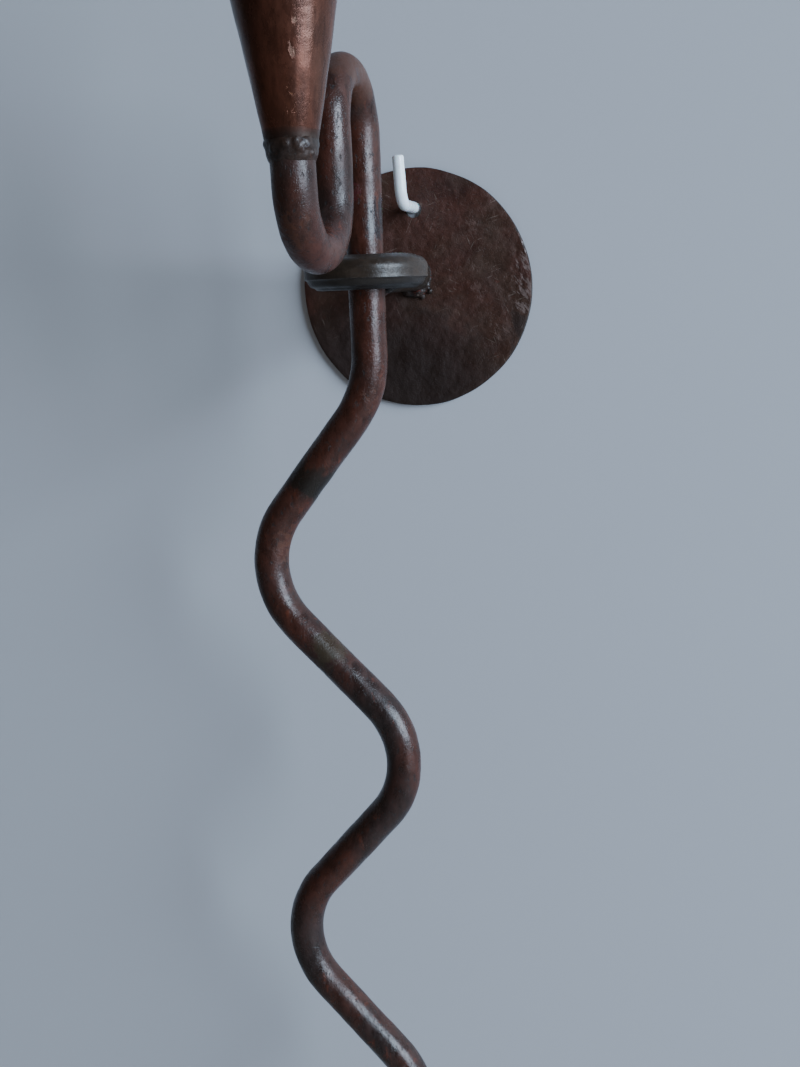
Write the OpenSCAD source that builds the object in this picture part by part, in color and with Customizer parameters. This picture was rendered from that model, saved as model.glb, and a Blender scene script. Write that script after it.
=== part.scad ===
// Wall candle holder: a waved round bar with a candle cone, dropped through a ring
// that stands out of a round wall plate. The plate hangs on a coated L hook.
// The origin is on the wall's face at the axis of the hook's screw.
// The wall is the plane Y = 0, the room is towards -Y, and +Z is up.

/* [Bar] */
// Diameter of the round bar that the arm, ring and stem are made of
bar_d = 12; // [8:0.5:16]

/* [Wall plate] */
// Diameter of the round wall plate
plate_d = 88; // [76:1:130]
// Thickness of the wall plate
plate_t = 2; // [1:0.5:4]
// Diameter of the hanging hole
hole_d = 6; // [5.5:0.25:8]
// Distance from the plate's rim in to the middle of the hanging hole
hole_in = 15; // [10:0.5:20]

/* [Arm and ring] */
// Distance from the wall to the stem's axis
arm_reach = 73; // [55:1:110]
// Height of the arm above the plate's centre
arm_up = 5; // [0:1:8]
// Clearance all round the stem in the ring's hole
ring_play = 1.8; // [1:0.1:3]
// How far the arm's weld bead stands out round the arm
arm_weld_leg = 3; // [2:0.5:4]
// How far the ring's weld bead stands out round the arm
ring_weld_leg = 1; // [0.6:0.1:2]

/* [Stem above the ring] */
// Distance from the stem to the leg that comes back down
back_gap = 33; // [28:1:45]
// Distance from that leg to the front leg below the cone
front_gap = 36; // [28:1:50]
// Height of the upper bend's centre above the ring
upper_bend_up = 42; // [34:1:70]
// Height of the lower bend's centre above the ring
lower_bend_up = 23.5; // [15:0.5:32]
// Height of the cone's lower end above the ring
cone_up = 35; // [34:1:60]

/* [Stem below the ring] */
// Height from one bend of the wave to the next, bend corner to bend corner
wave_pitch = 66; // [60:1:90]
// Distance from the stem's axis out to the first bend's corner
wave_reach = 48; // [40:1:58]
// Radius of the wave's bends, to the middle of the bar
wave_bend_r = 30; // [22:1:32]
// Depth of the first bend's corner below the ring
first_corner_down = 37.5; // [34:0.5:60]
// Radius of the first and last bends, to the middle of the bar
end_bend_r = 36; // [24:1:38]
// Length of the tapered end
taper_len = 52; // [30:1:90]
// Diameter of the tapered end's tip
tip_d = 6; // [4:0.5:8]

/* [Rest pin] */
// Diameter of the pin that carries the stem on the ring
pin_d = 3; // [2:0.5:4]
// Depth of the pin in the bar, past the bar's axis
pin_depth = 3; // [1:0.5:3.5]
// Gap between the pin and the ring that it rests on
rest_gap = 0.3; // [0.2:0.05:0.5]

/* [Candle cone] */
// Height of the cone
cone_h = 80; // [60:1:120]
// Diameter of the cone's mouth, outside
mouth_d = 45; // [34:1:60]
// Thickness of the cone's sheet
cone_wall = 1.4; // [1:0.1:2]
// Length of the stem's spigot inside the cone
spigot_len = 6; // [3:0.5:10]
// Height of the brazed collar below the cone
collar_h = 6; // [4:0.5:8]
// How far the brazed collar stands out round the bar
collar_bulge = 1.7; // [1:0.1:2.5]

/* [Hook] */
// Diameter of the hook over its coating
sleeve_d = 4.2; // [3.8:0.1:4.8]
// Diameter of the hook's steel wire
wire_d = 3; // [2.5:0.1:3.4]
// Diameter of the hook's screw, over its thread
screw_d = 3.5; // [3.4:0.1:3.7]
// Length of the screw that goes into the wall
screw_len = 25; // [15:1:40]
// Length of the screw's point
screw_tip_len = 4; // [2:0.5:6]
// Distance from the wall to the hook's upright leg
hook_reach = 20; // [14:1:30]
// Height of the hook's tip above its screw
hook_up = 17; // [10:1:24]
// Radius of the hook's bend, to the middle of the wire
hook_bend_r = 5.5; // [4:0.5:8]
// Thickness of the coating over the hook's tip
sleeve_cap = 0.6; // [0.4:0.1:1]
// How far the hook is turned from upright, in degrees
hook_turn = 3; // [0:1:8]
// Gap between the hook and the top of the hole that hangs on it
hang_gap = 0.2; // [0.1:0.05:0.4]

/* [Hidden] */
$fn = 64;

// One length by which every cutting solid runs past what it cuts
overrun = 1;
// How much thicker a bar is in its bends than along its straight runs, all round
bend_swell = 0.02;
// How far a straight run reaches into the bend at its end
bend_lap = 0.2;

bar_r = bar_d / 2;
wire_r = wire_d / 2;
sleeve_r = sleeve_d / 2;

// The plate hangs with the top of its hole on the hook, whatever its size
hole_z = -(hole_d / 2 - sleeve_r - hang_gap);
plate_z = hole_z - (plate_d / 2 - hole_in);
arm_z = plate_z + arm_up;
stem_y = -arm_reach;

// The ring is bent round the stem with play all round
ring_r = bar_r + ring_play + bar_r;
// The arm runs a little way into the ring's back and is coped to it
arm_bite_share = 0.07;
arm_end_y = stem_y + ring_r + bar_r - arm_bite_share * bar_d;

// Heights of the stem's parts
upper_bend_z = arm_z + upper_bend_up;
lower_bend_z = arm_z + lower_bend_up;
cone_z = arm_z + cone_up;
front_y = stem_y - back_gap - front_gap;
pin_z = arm_z + bar_r + rest_gap + pin_d / 2;

// The wave's corners below the first one: how far to the side of the stem's axis,
// as shares of wave_reach, and how far below the corner before, as shares of wave_pitch
side_shares = [-1, 0.36, -0.9, 0.36, -0.8, -0.17];
drop_shares = [0.92, 1, 1.04, 1, 1, 0.62];
// Length of the straight bar below the last bend and above the taper, as a share of bar_d
tail_share = 0.5;
// Size of the chamfer on the tail's tip, as a share of its diameter
tip_chamfer_share = 0.2;

// How deep the corner with this number lies below the first one
function drop_below(i) = i < 0 ? 0 : wave_pitch * drop_shares[i] + drop_below(i - 1);

last_side = wave_reach * side_shares[len(side_shares) - 1];
last_drop = drop_below(len(drop_shares) - 1);
last_corner_z = arm_z - first_corner_down - last_drop;
tail_end_z = last_corner_z - end_bend_r - tail_share * bar_d - taper_len;

// The wave's whole route in X and Z, from the middle of the ring to the taper's start
wave_route = concat(
    [[0, arm_z], [0, arm_z - first_corner_down]],
    [for (i = [0 : len(side_shares) - 1])
        [wave_reach * side_shares[i], arm_z - first_corner_down - drop_below(i)]],
    [[last_side, tail_end_z + taper_len]]
);

// Radius of the bend at corner number i of a route with n points
function bend_radius(i, n) = (i == 1 || i == n - 2) ? end_bend_r : wave_bend_r;

// The angle of the line from point a to point b
function heading(a, b) = atan2(b[1] - a[1], b[0] - a[0]);

// The turn at corner i of a route, positive to the left
function turn_at(route, i) =
    let (d = heading(route[i], route[i + 1]) - heading(route[i - 1], route[i]))
    d > 180 ? d - 360 : (d < -180 ? d + 360 : d);

// How far the bend at corner i reaches along the lines on both sides of it
function bend_reach(route, i) =
    (i == 0 || i == len(route) - 1)
        ? 0
        : bend_radius(i, len(route)) * tan(abs(turn_at(route, i)) / 2);

// The unit step along a heading
function along(angle) = [cos(angle), sin(angle)];

// A straight length of round bar in the XY plane. It laps into a bend at an end marked 1
module bar_run(from, angle, length, radius, laps = [1, 1]) {
    start_point = from - laps[0] * bend_lap * along(angle);
    translate([start_point[0], start_point[1], 0])
        rotate([0, 90, angle])
            cylinder(h = length + (laps[0] + laps[1]) * bend_lap, r = radius - bend_swell);
}

// A bent length of round bar in the XY plane, from angle start through sweep
module bar_bend(centre, bend_r, start, sweep, radius) {
    translate([centre[0], centre[1], 0])
        rotate(start)
            rotate_extrude(angle = sweep)
                translate([bend_r, 0])
                    circle(r = radius);
}

// Stands a shape drawn in the XY plane up in the plane through the stem parallel to the wall
module upright_along_wall() {
    translate([0, stem_y, 0])
        rotate([90, 0, 0])
            children();
}

// Stands a shape drawn in the XY plane up square to the wall, its X towards the room
module upright_to_room() {
    rotate([90, 0, -90])
        children();
}

// The full ring, also used to cope what is joined to it
module ring_body() {
    translate([0, stem_y, arm_z])
        rotate_extrude()
            translate([ring_r, 0])
                circle(r = bar_r);
}

// The bar's wave below the ring, with its first straight run left to the upright
module wave() {
    n = len(wave_route);
    for (i = [1 : n - 2]) {
        from_angle = heading(wave_route[i - 1], wave_route[i]);
        turn = turn_at(wave_route, i);
        side = sign(turn);
        bend_r = bend_radius(i, n);
        start_point = wave_route[i] - bend_reach(wave_route, i) * along(from_angle);
        centre = start_point + bend_r * along(from_angle + side * 90);
        first_angle = from_angle - side * 90;
        bar_bend(centre, bend_r, min(first_angle, first_angle + turn), abs(turn), bar_r);
    }
    for (i = [1 : n - 2]) {
        to_angle = heading(wave_route[i], wave_route[i + 1]);
        run = norm(wave_route[i + 1] - wave_route[i])
            - bend_reach(wave_route, i) - bend_reach(wave_route, i + 1);
        bar_run(wave_route[i] + bend_reach(wave_route, i) * along(to_angle), to_angle, run, bar_r);
    }
}

// The tapered end with its chamfered tip
module taper() {
    tip_chamfer = tip_chamfer_share * tip_d;
    translate([last_side, stem_y, tail_end_z]) {
        translate([0, 0, tip_chamfer])
            cylinder(h = taper_len - tip_chamfer, r1 = tip_d / 2, r2 = bar_r);
        cylinder(h = tip_chamfer, r1 = tip_d / 2 - tip_chamfer, r2 = tip_d / 2);
    }
}

// The bar's S-bend above the ring, from the upright to the spigot in the cone
module crook() {
    back_r = back_gap / 2;
    front_r = front_gap / 2;
    out = arm_reach;
    upright_to_room() {
        bar_bend([out + back_r, upper_bend_z], back_r, 0, 180, bar_r);
        bar_run([out + back_gap, lower_bend_z], 90, upper_bend_z - lower_bend_z, bar_r);
        bar_bend([out + back_gap + front_r, lower_bend_z], front_r, 180, 180, bar_r);
        bar_run([out + back_gap + front_gap, lower_bend_z], 90,
            cone_z + spigot_len - lower_bend_z, bar_r, [1, 0]);
    }
}

// The straight upright that passes through the ring
module upright() {
    low_z = arm_z - first_corner_down + bend_reach(wave_route, 1);
    upright_along_wall()
        bar_run([0, low_z], 90, upper_bend_z - low_z, bar_r);
}

// The pin's solid, longer by extra at its outer end
module pin_body(extra) {
    translate([0, stem_y - pin_depth, pin_z])
        rotate([-90, 0, 0])
            cylinder(h = pin_depth + ring_r + extra, r = pin_d / 2);
}

// The hook's route as one bent bar of this radius, cut short at the tip by this much
module hook_path(radius, from_u, short) {
    leg_len = hook_up - hook_bend_r - short;
    rotate([0, -hook_turn, 0])
        upright_to_room() {
            bar_run([from_u, 0], 0, hook_reach - hook_bend_r - from_u, radius, [0, 1]);
            bar_bend([hook_reach - hook_bend_r, hook_bend_r], hook_bend_r, 270, 90, radius);
            bar_run([hook_reach, hook_bend_r], 90, leg_len, radius, [1, 0]);
        }
}

module wall_plate() {
    color("#3a2320")
        difference() {
            translate([0, -plate_t, plate_z])
                rotate([-90, 0, 0])
                    cylinder(h = plate_t, r = plate_d / 2);
            translate([0, -plate_t - overrun, hole_z])
                rotate([-90, 0, 0])
                    cylinder(h = plate_t + 2 * overrun, r = hole_d / 2);
        }
}

module support_arm() {
    color("#3c3431")
        difference() {
            translate([0, arm_end_y, arm_z])
                rotate([-90, 0, 0])
                    cylinder(h = -plate_t - arm_end_y, r = bar_r);
            ring_body();
        }
}

module support_ring() {
    color("#4a4640")
        ring_body();
}

// A round bead on the plate's face, hollow where the arm stands
module arm_weld() {
    color("#5a3a32")
        difference() {
            translate([0, -plate_t, arm_z])
                rotate([90, 0, 0])
                    rotate_extrude()
                        translate([bar_r, 0])
                            circle(r = arm_weld_leg);
            translate([0, -plate_t - arm_weld_leg - overrun, arm_z])
                rotate([-90, 0, 0])
                    cylinder(h = arm_weld_leg + 2 * overrun + arm_weld_leg, r = bar_r);
            translate([-plate_d / 2, -plate_t, arm_z - plate_d / 2])
                cube([plate_d, arm_weld_leg + overrun, plate_d]);
        }
}

// A short barrel round the arm's end that fills the corner behind the ring
module ring_weld() {
    weld_r = bar_r + ring_weld_leg;
    back_y = stem_y + ring_r + bar_r + 2 * ring_weld_leg;
    color("#4a4640")
        difference() {
            translate([0, stem_y + ring_r + bar_r / 3, arm_z])
                rotate([-90, 0, 0])
                    cylinder(h = back_y - stem_y - ring_r - bar_r / 3, r = weld_r);
            translate([0, arm_end_y, arm_z])
                rotate([-90, 0, 0])
                    cylinder(h = back_y - arm_end_y + overrun, r = bar_r);
            ring_body();
        }
}

module stem() {
    color("#5b3129")
        difference() {
            union() {
                upright();
                crook();
                upright_along_wall()
                    wave();
                taper();
            }
            pin_body(0);
        }
}

module rest_pin() {
    color("#4a4640")
        pin_body(0);
}

module neck_collar() {
    bead_r = collar_h / 2;
    color("#4e3129")
        translate([0, front_y, cone_z - collar_h])
            difference() {
                union() {
                    translate([0, 0, bead_r])
                        rotate_extrude()
                            translate([bar_r + collar_bulge - bead_r, 0])
                                circle(r = bead_r);
                    translate([0, 0, bead_r])
                        cylinder(h = collar_h - bead_r, r = bar_r + cone_wall);
                }
                translate([0, 0, -overrun])
                    cylinder(h = collar_h + 2 * overrun, r = bar_r);
            }
}

module candle_cone() {
    color("#7a4630")
        translate([0, front_y, cone_z])
            rotate_extrude()
                polygon([
                    [bar_r, 0],
                    [bar_r + cone_wall, 0],
                    [mouth_d / 2, cone_h],
                    [mouth_d / 2 - cone_wall, cone_h]
                ]);
}

module hook_wire() {
    color("#b9bcc0") {
        hook_path(wire_r, 0, sleeve_cap);
        rotate([-90, 0, 0])
            cylinder(h = screw_len - screw_tip_len, r = screw_d / 2);
        translate([0, screw_len - screw_tip_len, 0])
            rotate([-90, 0, 0])
                cylinder(h = screw_tip_len, r1 = screw_d / 2, r2 = 0);
    }
}

module hook_sleeve() {
    color("#eef1f4")
        difference() {
            hook_path(sleeve_r, 0, 0);
            hook_path(wire_r, -overrun, sleeve_cap);
        }
}

wall_plate();
support_arm();
support_ring();
arm_weld();
ring_weld();
stem();
rest_pin();
neck_collar();
candle_cone();
hook_wire();
hook_sleeve();
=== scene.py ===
import math
import random

import bmesh
import bpy
from mathutils import Matrix, Vector


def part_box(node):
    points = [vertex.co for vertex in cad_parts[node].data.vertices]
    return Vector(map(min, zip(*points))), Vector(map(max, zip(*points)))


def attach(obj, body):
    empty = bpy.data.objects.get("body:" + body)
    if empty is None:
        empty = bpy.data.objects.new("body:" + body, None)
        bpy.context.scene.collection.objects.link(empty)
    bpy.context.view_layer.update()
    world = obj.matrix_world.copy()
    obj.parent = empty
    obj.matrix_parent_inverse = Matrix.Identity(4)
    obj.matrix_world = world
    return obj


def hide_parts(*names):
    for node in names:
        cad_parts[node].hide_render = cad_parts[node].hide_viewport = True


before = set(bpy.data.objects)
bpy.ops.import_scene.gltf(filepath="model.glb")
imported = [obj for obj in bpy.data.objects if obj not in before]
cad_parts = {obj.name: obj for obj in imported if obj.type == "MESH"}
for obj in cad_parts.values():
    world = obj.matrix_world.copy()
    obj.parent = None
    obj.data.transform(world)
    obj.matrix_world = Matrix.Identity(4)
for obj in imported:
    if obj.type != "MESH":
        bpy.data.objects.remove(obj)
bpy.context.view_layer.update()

# A forged wall candle holder. A waved round bar with a rolled candle cone hangs through a ring,
# which an arm holds out from a round wall plate, and the plate hangs on a coated screw hook.
# Everything is in metres. The wall's face is the plane Y = 0 and the room is towards -Y.

MM = 0.001
RIGHT = Vector((1, 0, 0))
WALLWARD = Vector((0, 1, 0))
UP = Vector((0, 0, 1))

# Places and sizes of the pieces, read from the frame

ring_low, ring_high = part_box("support_ring")
plate_low, plate_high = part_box("wall_plate")
arm_low, arm_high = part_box("support_arm")
weld_low, weld_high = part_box("arm_weld")
joint_low, joint_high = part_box("ring_weld")
stem_low, stem_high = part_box("stem")
pin_low, pin_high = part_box("rest_pin")
collar_low, collar_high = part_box("neck_collar")
cone_low, cone_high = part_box("candle_cone")
hook_low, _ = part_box("hook_sleeve")
_, screw_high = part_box("hook_wire")

BAR_R = (ring_high.z - ring_low.z) / 2
RING_Z = (ring_high.z + ring_low.z) / 2
RING_R = (ring_high.x - ring_low.x) / 2 - BAR_R
STEM_Y = (ring_high.y + ring_low.y) / 2
PLATE_R = (plate_high.x - plate_low.x) / 2
PLATE_Z = (plate_high.z + plate_low.z) / 2
PLATE_FRONT_Y = plate_low.y
FRONT_Y = (cone_high.y + cone_low.y) / 2
CONE_Z = cone_low.z
MOUTH_Z = cone_high.z
MOUTH_R = (cone_high.x - cone_low.x) / 2
PIN_R = (pin_high.z - pin_low.z) / 2
PIN_Z = (pin_high.z + pin_low.z) / 2
TAIL_Z = stem_low.z

# Sizes of the bar's bends

BACK_GAP = 33 * MM
FRONT_GAP = STEM_Y - FRONT_Y - BACK_GAP
UPPER_BEND_Z = stem_high.z - BAR_R - BACK_GAP / 2
LOWER_BEND_Z = RING_Z + 23.5 * MM
SPIGOT_LEN = 6 * MM

WAVE_PITCH = 66 * MM
WAVE_REACH = 48 * MM
WAVE_BEND_R = 30 * MM
END_BEND_R = 36 * MM
FIRST_CORNER_DOWN = 37.5 * MM
SIDE_SHARES = (-1, 0.36, -0.9, 0.36, -0.8, -0.17)
DROP_SHARES = (0.92, 1, 1.04, 1, 1, 0.62)
TAPER_LEN = 52 * MM
TIP_R = 3 * MM

# Sizes of the small forms

CONE_WALL = 1.4 * MM
CONE_LAP = 1.3 * MM
CONE_FOOT_Z = CONE_Z - CONE_LAP
CONE_FOOT_R = BAR_R + CONE_WALL - CONE_LAP * (MOUTH_R - BAR_R - CONE_WALL) / (MOUTH_Z - CONE_Z)
HOLE_R = 3 * MM
HOLE_Z = -0.7 * MM
SLEEVE_R = 2.1 * MM
HOOK_BEND_R = 5.5 * MM
HOOK_UP = 17 * MM
HOOK_TURN = math.radians(3)
SCREW_R = 1.75 * MM
SCREW_POINT = 4 * MM

# How finely the bars are drawn: sides of the section and length from ring to ring

BAR_SIDES = 40
BAR_STEP = 2.6 * MM


def deselect():
    bpy.ops.object.select_all(action="DESELECT")


def take(piece):
    """Makes this the one piece that the next operator works on."""
    deselect()
    piece.select_set(True)
    bpy.context.view_layer.objects.active = piece


def settle(piece, name):
    """Names a new piece and moves its place into its mesh."""
    piece.name = name
    piece.data.name = name
    take(piece)
    bpy.ops.object.transform_apply(location=True, rotation=True, scale=True)
    return piece


def add(operator, name, **settings):
    """Adds a new piece by an operator."""
    deselect()
    operator(**settings)
    return settle(bpy.context.object, name)


def edit(piece, kind="EDGE"):
    take(piece)
    bpy.ops.object.mode_set(mode="EDIT")
    bpy.ops.mesh.select_mode(type=kind)


def done():
    bpy.ops.object.mode_set(mode="OBJECT")


def choose(piece, kind, test):
    """In edit mode, selects just the faces, edges or corners that pass the test."""
    bpy.ops.mesh.select_mode(type=kind)
    bpy.ops.mesh.select_all(action="DESELECT")
    mesh = bmesh.from_edit_mesh(piece.data)
    items = {"FACE": mesh.faces, "EDGE": mesh.edges, "VERT": mesh.verts}[kind]
    for item in items:
        if test(item):
            item.select_set(True)
    bmesh.update_edit_mesh(piece.data)


def choose_all():
    bpy.ops.mesh.select_all(action="SELECT")


def extrude(move):
    bpy.ops.mesh.extrude_region_move(TRANSFORM_OT_translate={"value": move})


def middle(edge):
    return (edge.verts[0].co + edge.verts[1].co) / 2


def modify(piece, kind, **settings):
    """Adds a modifier and applies it."""
    modifier = piece.modifiers.new(kind.title(), kind)
    for name, value in settings.items():
        setattr(modifier, name, value)
    take(piece)
    bpy.ops.object.modifier_apply(modifier=modifier.name)


def roughen(piece, grain, depth, group=""):
    """Lets clouds of this grain push the skin in and out, by this depth from lowest to highest."""
    clouds = bpy.data.textures.new(piece.name + "_skin", "CLOUDS")
    clouds.noise_scale = grain
    modify(piece, "DISPLACE", texture=clouds, strength=depth, mid_level=0.5, vertex_group=group)


def smooth_shade(piece, degrees=40):
    """Shades the piece smooth, apart from edges that turn by more than this."""
    take(piece)
    bpy.ops.object.shade_smooth_by_angle(angle=math.radians(degrees))
    return piece


def outward(piece):
    """Merges doubles and turns every face outwards."""
    edit(piece)
    choose_all()
    bpy.ops.mesh.remove_doubles(threshold=0.001 * MM)
    bpy.ops.mesh.normals_make_consistent(inside=False)
    done()


class Bar:
    """A round bar that is drawn out and bent, ring by ring, from one end to the other."""

    def __init__(self, name, at, heading, radius, sides=BAR_SIDES, step=BAR_STEP):
        self.at = Vector(at)
        self.heading = Vector(heading).normalized()
        self.radius = radius
        self.step = step
        self.piece = add(
            bpy.ops.mesh.primitive_circle_add, name, vertices=sides, radius=radius, location=self.at,
            rotation=self.heading.to_track_quat("Z", "Y").to_euler(),
        )
        edit(self.piece)
        choose_all()

    def advance(self, length, radius):
        """One ring further on, drawn to this radius."""
        move = self.heading * length
        extrude(move)
        self.at += move
        if radius != self.radius:
            scale = radius / self.radius
            bpy.ops.transform.resize(value=(scale, scale, scale), center_override=self.at)
            self.radius = radius

    def run(self, length, radius=None):
        """A straight length, drawn evenly to a new radius if one is given."""
        start = self.radius
        goal = radius or start
        steps = max(1, math.ceil(length / self.step))
        for count in range(1, steps + 1):
            self.advance(length / steps, start + (goal - start) * count / steps)

    def bend(self, radius, angle, towards):
        """A bend round a centre that lies this way from the bar, square to it."""
        centre = self.at + radius * towards
        axis = self.heading.cross(towards)
        steps = max(2, math.ceil(radius * angle / self.step))
        # The spin operator turns left-handed
        bpy.ops.mesh.spin(steps=steps, angle=-angle, center=centre, axis=axis)
        turn = Matrix.Rotation(angle, 3, axis)
        self.at = centre + turn @ (self.at - centre)
        self.heading = turn @ self.heading

    def round_edge(self, rounding, growing=False, rings=4):
        """An end's rounded edge: in from the full radius, or out to it where the bar starts."""
        full = self.radius + (rounding if growing else 0)
        for count in range(1, rings + 1):
            before = math.pi / 2 * (count - 1) / rings
            after = math.pi / 2 * count / rings
            if growing:
                length = math.cos(before) - math.cos(after)
                inset = 1 - math.sin(after)
            else:
                length = math.sin(after) - math.sin(before)
                inset = 1 - math.cos(after)
            self.advance(rounding * length, full - rounding * inset)

    def close(self):
        """Caps both ends and leaves edit mode."""
        bpy.ops.mesh.edge_face_add()
        bpy.ops.mesh.select_non_manifold(extend=False)
        bpy.ops.mesh.edge_face_add()
        done()
        outward(self.piece)
        return self.piece


# Camera: placed where the photograph was taken from

PHOTO_WIDTH = 800
PHOTO_HEIGHT = 1067
FOCAL_PIXELS = 1200
CAMERA_AT = (102.5 * MM, -453.1 * MM, -30.5 * MM)
CAMERA_YAW = math.radians(13.98)
CAMERA_DOWN = math.radians(11.40)
CAMERA_ROLL = math.radians(-2.20)


def set_camera():
    data = bpy.data.cameras.new("photo_camera")
    camera = bpy.data.objects.new("photo_camera", data)
    bpy.context.scene.collection.objects.link(camera)
    data.sensor_fit = "AUTO"
    data.sensor_width = 36
    data.lens = data.sensor_width * FOCAL_PIXELS / max(PHOTO_WIDTH, PHOTO_HEIGHT)
    data.clip_start = 10 * MM
    data.clip_end = 50
    yaw = Matrix.Rotation(CAMERA_YAW, 4, "Z")
    tilt = Matrix.Rotation(math.pi / 2 - CAMERA_DOWN, 4, "X")
    roll = Matrix.Rotation(CAMERA_ROLL, 4, "Z")
    camera.matrix_world = Matrix.Translation(CAMERA_AT) @ yaw @ tilt @ roll
    bpy.context.scene.camera = camera


set_camera()

# Shapes


def wave_corners():
    """The corners of the bar's wave below the ring, from the ring down to the taper's start."""
    corners = [Vector((0, STEM_Y, RING_Z)), Vector((0, STEM_Y, RING_Z - FIRST_CORNER_DOWN))]
    for side, drop in zip(SIDE_SHARES, DROP_SHARES):
        height = corners[-1].z - WAVE_PITCH * drop
        corners.append(Vector((WAVE_REACH * side, STEM_Y, height)))
    corners.append(Vector((corners[-1].x, STEM_Y, TAIL_Z + TAPER_LEN)))
    return corners


def turn_between(first, second):
    """The turn from one heading to the next in the plane along the wall, positive to the left."""
    return math.atan2(first.x * second.z - first.z * second.x, first.dot(second))


def draw_wave(bar, corners):
    """Bends the bar along the corners of its wave, from where it stands now."""
    last = len(corners) - 1
    for number in range(1, last):
        heading = (corners[number] - corners[number - 1]).normalized()
        onward = (corners[number + 1] - corners[number]).normalized()
        turn = turn_between(heading, onward)
        radius = END_BEND_R if number in (1, last - 1) else WAVE_BEND_R
        reach = radius * math.tan(abs(turn) / 2)
        bar.run((corners[number] - bar.at).length - reach)
        left = Vector((-heading.z, 0, heading.x))
        bar.bend(radius, abs(turn), left if turn > 0 else -left)


def forge_stem():
    """The long bar: the spigot in the cone, the two bends above the ring, the wave and the taper."""
    rounding = 1.2 * MM
    bar = Bar("stem_bar", (0, FRONT_Y, CONE_Z + SPIGOT_LEN), (0, 0, -1), BAR_R - rounding)
    bar.round_edge(rounding, growing=True)
    bar.run(bar.at.z - LOWER_BEND_Z)
    bar.bend(FRONT_GAP / 2, math.pi, WALLWARD)
    bar.run(UPPER_BEND_Z - LOWER_BEND_Z)
    bar.bend(BACK_GAP / 2, math.pi, WALLWARD)
    corners = wave_corners()
    draw_wave(bar, corners)
    bar.run((corners[-1] - bar.at).length)
    tip_rounding = 1.6 * MM
    bar.run(TAPER_LEN - tip_rounding, TIP_R)
    bar.round_edge(tip_rounding)
    piece = bar.close()
    modify(piece, "SUBSURF", levels=1)
    roughen(piece, 22 * MM, 0.55 * MM)
    roughen(piece, 7 * MM, 0.22 * MM)
    return smooth_shade(piece)


def forge_ring():
    """The ring: round bar bent to a circle, hammered flatter below, with a ridge round its outside."""
    ridge_up = 0.22 * MM
    top_flank_up = 0.6 * MM
    low_flank_in = 0.45 * MM
    ridge_z = RING_Z - 0.2 * BAR_R
    underside_z = RING_Z - 0.65 * BAR_R
    underside_height = 0.45
    sides = 64
    row_height = BAR_R * math.sin(2 * math.pi / sides)
    piece = add(
        bpy.ops.mesh.primitive_torus_add, "ring_bar", major_radius=RING_R, minor_radius=BAR_R,
        major_segments=168, minor_segments=sides, location=(0, STEM_Y, RING_Z),
    )
    edit(piece)

    def reach_of(corner):
        """How far out in the bar a corner lies, from 0 on its middle line to 1 on its outside."""
        return (Vector((corner.co.x, corner.co.y - STEM_Y)).length - RING_R) / BAR_R

    def on_top_flank(corner):
        return reach_of(corner) > 0.5 and 0.25 * BAR_R < corner.co.z - RING_Z < 0.8 * BAR_R

    def on_low_flank(corner):
        return reach_of(corner) > 0.4 and -0.8 * BAR_R < corner.co.z - RING_Z < -0.26 * BAR_R

    def on_ridge(corner):
        return reach_of(corner) > 0.9 and abs(corner.co.z - ridge_z) < row_height / 2

    choose(piece, "VERT", on_top_flank)
    bpy.ops.transform.shrink_fatten(value=top_flank_up)
    choose_all()
    bpy.ops.mesh.vertices_smooth(factor=0.5, repeat=6)
    choose(piece, "VERT", lambda corner: corner.co.z < underside_z)
    bpy.ops.transform.resize(value=(1, 1, underside_height), center_override=(0, STEM_Y, underside_z))
    choose(piece, "VERT", on_low_flank)
    bpy.ops.transform.shrink_fatten(value=-low_flank_in)
    bpy.ops.mesh.vertices_smooth(factor=0.5, repeat=2)
    choose(piece, "VERT", on_ridge)
    bpy.ops.transform.shrink_fatten(value=ridge_up)
    done()
    roughen(piece, 14 * MM, 0.35 * MM)
    roughen(piece, 4 * MM, 0.1 * MM)
    return smooth_shade(piece)


def forge_arm():
    """The arm: a short straight bar from the plate into the ring's back."""
    root = (0, arm_high.y, RING_Z)
    bar = Bar("arm_bar", root, (0, -1, 0), BAR_R)
    bar.run(arm_high.y - arm_low.y)
    piece = bar.close()
    modify(piece, "SUBSURF", levels=1, subdivision_type="SIMPLE")
    roughen(piece, 16 * MM, 0.4 * MM)
    return smooth_shade(piece)


def lay_bead(name, blobs, grain, core=None, smoothing=6):
    """A weld or braze bead: blobs laid one on the other, run together and left lumpy.

    Each blob is its middle and its half-size. The core is a piece that the blobs lie on.
    """
    parts = [core] if core else []
    ball = bpy.ops.mesh.primitive_ico_sphere_add
    for at, half_size in blobs:
        parts.append(add(ball, name, subdivisions=3, radius=half_size, location=at))
    deselect()
    for blob in parts:
        blob.select_set(True)
    bpy.context.view_layer.objects.active = parts[0]
    bpy.ops.object.join()
    piece = settle(bpy.context.object, name)
    modify(piece, "REMESH", mode="VOXEL", voxel_size=grain)
    modify(piece, "SMOOTH", factor=0.5, iterations=smoothing)
    roughen(piece, 2.2 * MM, 0.35 * MM)
    return smooth_shade(piece, 70)


def on_ring(centre, towards, reach, degrees):
    """The point at this distance and angle round a centre. The angle turns from RIGHT to towards."""
    angle = math.radians(degrees)
    return centre + reach * (math.cos(angle) * RIGHT + math.sin(angle) * towards)


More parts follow.
